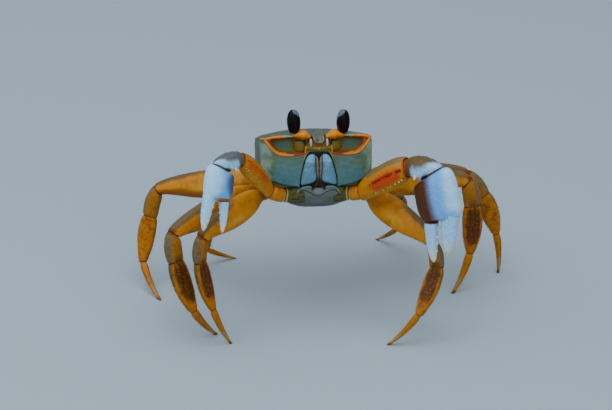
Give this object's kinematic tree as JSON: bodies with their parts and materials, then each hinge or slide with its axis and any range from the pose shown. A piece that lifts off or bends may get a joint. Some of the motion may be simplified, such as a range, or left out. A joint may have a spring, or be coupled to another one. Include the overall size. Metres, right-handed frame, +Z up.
{
  "type": "atlantic ghost crab",
  "caption": "Life-size still model of a pale shore crab with upright eyes, standing high on its walking legs with its claws hanging in front.",
  "frame": {"origin": "on the floor under the middle of the crab's bounding box", "axes": "the crab faces -Y, +X is its own left, along its leg span, and +Z is up"},
  "size_m": [0.132, 0.0806, 0.0773],
  "materials": {
    "carapace": "smooth shell, grey-green",
    "thorax": "smooth breast plate, blue-grey, with olive leg bases",
    "abdomen": "segmented tail flap, pale grey",
    "maxilliped": "light blue mouth plates",
    "eyestalk": "yellow-orange stalk",
    "eye": "glossy black-brown cornea",
    "antennule": "pale feeler",
    "claw_arm": "orange, granular edges",
    "claw_wrist": "grey-blue and brown on top",
    "claw_palm": "white to blue",
    "claw_finger": "white to light blue",
    "merus": "amber with a grey-brown upper edge",
    "carpus": "grey-brown and amber",
    "propodus": "dark amber to red-brown, speckled",
    "dactyl": "amber with a dark tip"
  },
  "bodies": {
    "root": {"carapace": "carapace", "thorax": "thorax", "abdomen": "abdomen", "maxilliped_left": "maxilliped", "eyestalk_left": "eyestalk", "eye_left": "eye", "antennule_left": "antennule", "claw_left_arm": "claw_arm", "claw_left_wrist": "claw_wrist", "claw_left_palm": "claw_palm", "claw_left_finger": "claw_finger", "leg1_left_merus": "merus", "leg1_left_carpus": "carpus", "leg1_left_propodus": "propodus", "leg1_left_dactyl": "dactyl", "leg2_left_merus": "merus", "leg2_left_carpus": "carpus", "leg2_left_propodus": "propodus", "leg2_left_dactyl": "dactyl", "leg3_left_merus": "merus", "leg3_left_carpus": "carpus", "leg3_left_propodus": "propodus", "leg3_left_dactyl": "dactyl", "leg4_left_merus": "merus", "leg4_left_carpus": "carpus", "leg4_left_propodus": "propodus", "leg4_left_dactyl": "dactyl", "maxilliped_right": "maxilliped", "eyestalk_right": "eyestalk", "eye_right": "eye", "antennule_right": "antennule", "claw_right_arm": "claw_arm", "claw_right_wrist": "claw_wrist", "claw_right_palm": "claw_palm", "claw_right_finger": "claw_finger", "leg1_right_merus": "merus", "leg1_right_carpus": "carpus", "leg1_right_propodus": "propodus", "leg1_right_dactyl": "dactyl", "leg2_right_merus": "merus", "leg2_right_carpus": "carpus", "leg2_right_propodus": "propodus", "leg2_right_dactyl": "dactyl", "leg3_right_merus": "merus", "leg3_right_carpus": "carpus", "leg3_right_propodus": "propodus", "leg3_right_dactyl": "dactyl", "leg4_right_merus": "merus", "leg4_right_carpus": "carpus", "leg4_right_propodus": "propodus", "leg4_right_dactyl": "dactyl"}
  },
  "joints": []
}
